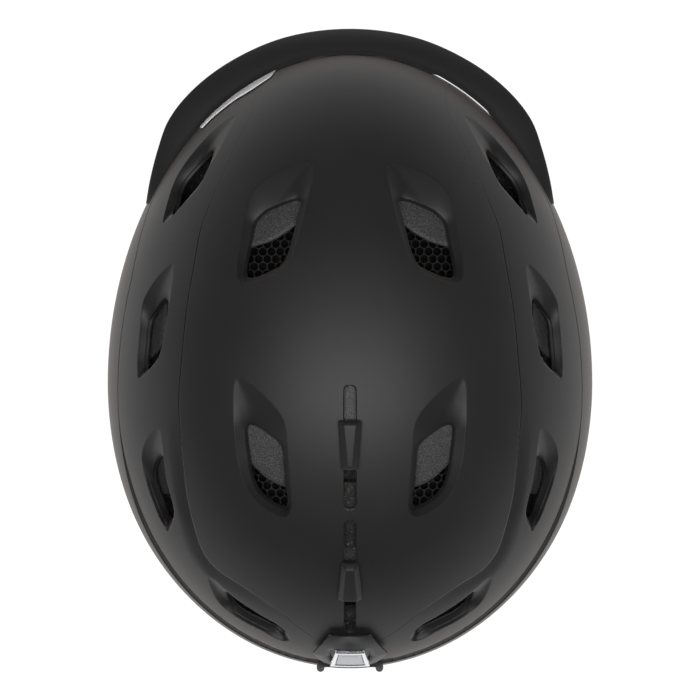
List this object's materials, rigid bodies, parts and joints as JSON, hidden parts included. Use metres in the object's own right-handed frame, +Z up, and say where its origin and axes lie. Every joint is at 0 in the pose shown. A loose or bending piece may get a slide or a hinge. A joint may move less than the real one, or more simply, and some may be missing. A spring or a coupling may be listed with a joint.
{
  "type": "ski helmet",
  "caption": "Hard-shell snow sports helmet with a short brim, sliding vents, honeycomb impact liner, padded ear pads, a dial fit cradle and a magnetic chin strap.",
  "frame": {"origin": "middle of the head opening, on the shell's widest line and 30 mm below its belt", "axes": "+Z up to the crown, -Y the way the wearer looks, +X the wearer's left"},
  "size_m": [0.2246, 0.2996, 0.3455],
  "materials": {
    "shell": "matte moulded shell, fine texture",
    "brim": "matte, slightly softer than the shell",
    "plastic": "satin moulded plastic",
    "shutter": "grained matte plastic",
    "foam": "expanded foam with fused beads",
    "comb": "extruded honeycomb of thin-walled round cells",
    "chrome": "bright plated",
    "accent": "glossy pale inlay",
    "fabric": "brushed lining fabric over soft foam",
    "webbing": "woven webbing",
    "rubber": "matte rubber",
    "steel": "brushed"
  },
  "bodies": {
    "helmet": {"upper_shell": "shell", "side_shell": "shell", "lower_shell": "shell", "brim": "brim", "brow_badge": "accent", "impact_foam": "foam", "honeycomb_front_left": "comb", "honeycomb_rear_left": "comb", "honeycomb_front_right": "comb", "honeycomb_rear_right": "comb", "goggle_clip_base": "plastic", "goggle_cord": "rubber", "brow_pad": "fabric", "crown_pad_middle": "fabric", "crown_pad_left": "fabric", "crown_pad_right": "fabric", "side_pad_left": "fabric", "side_pad_right": "fabric", "fit_band": "plastic", "strap_front_left": "webbing", "strap_rear_left": "webbing", "strap_front_right": "webbing", "strap_rear_right": "webbing", "strap_anchor_front_left": "steel", "strap_anchor_rear_left": "steel", "strap_anchor_front_right": "steel", "strap_anchor_rear_right": "steel", "strap_divider_left": "plastic", "strap_divider_right": "plastic"},
    "front_vents": {"front_vent_shutter": "shutter", "front_slider_knob": "plastic"},
    "rear_vents": {"rear_vent_shutter": "shutter", "rear_slider_knob": "plastic"},
    "goggle_clip": {"goggle_clip_lever": "plastic", "clip_badge": "chrome"},
    "cradle": {"rear_cradle": "plastic", "nape_pad": "fabric", "dial_housing": "plastic"},
    "dial": {"fit_dial": "rubber"},
    "ear_left": {"ear_pad_left": "fabric", "ear_pad_frame_left": "plastic"},
    "ear_right": {"ear_pad_right": "fabric", "ear_pad_frame_right": "plastic"},
    "chin_strap_left": {"strap_lower_left": "webbing", "chin_pad": "fabric", "buckle_base": "plastic", "buckle_magnet_left": "steel"},
    "chin_strap_right": {"strap_lower_right": "webbing", "buckle_slide": "plastic", "buckle_magnet_right": "steel"}
  },
  "joints": [
    {"name": "front_vent_slide", "type": "hinge", "parent": "helmet", "child": "front_vents", "pos_m": [0, -0.006, -0.012], "axis": [1, 0, 0], "range_deg": [-4, 4]},
    {"name": "rear_vent_slide", "type": "hinge", "parent": "helmet", "child": "rear_vents", "pos_m": [0, 0.001, 0.013], "axis": [1, 0, 0], "range_deg": [-4, 4]},
    {"name": "goggle_clip_hinge", "type": "hinge", "parent": "helmet", "child": "goggle_clip", "pos_m": [0, 0.1175, 0.0915], "axis": [1, 0, 0], "range_deg": [0, 55]},
    {"name": "cradle_slide", "type": "slide", "parent": "helmet", "child": "cradle", "axis": [0, -1, 0], "range_m": [0, 0.01]},
    {"name": "dial_turn", "type": "hinge", "parent": "cradle", "child": "dial", "pos_m": [0, 0.102, -0.032], "axis": [0, 1, 0], "range_deg": [-5, 365]},
    {"name": "ear_pad_left_pull", "type": "slide", "parent": "helmet", "child": "ear_left", "axis": [0, 0, -1], "range_m": [0, 0.12]},
    {"name": "ear_pad_right_pull", "type": "slide", "parent": "helmet", "child": "ear_right", "axis": [0, 0, -1], "range_m": [0, 0.12]},
    {"name": "chin_strap_left_swing", "type": "hinge", "parent": "helmet", "child": "chin_strap_left", "pos_m": [0.0705, 0.006, -0.0795], "axis": [0, 1, 0], "range_deg": [-8, 22]},
    {"name": "chin_strap_right_swing", "type": "hinge", "parent": "helmet", "child": "chin_strap_right", "pos_m": [-0.0705, 0.006, -0.0795], "axis": [0, -1, 0], "range_deg": [-8, 22]}
  ],
  "couplings": [
    {"joint": "dial_turn", "follows": "cradle_slide", "rad_per_m": 628.32}
  ]
}
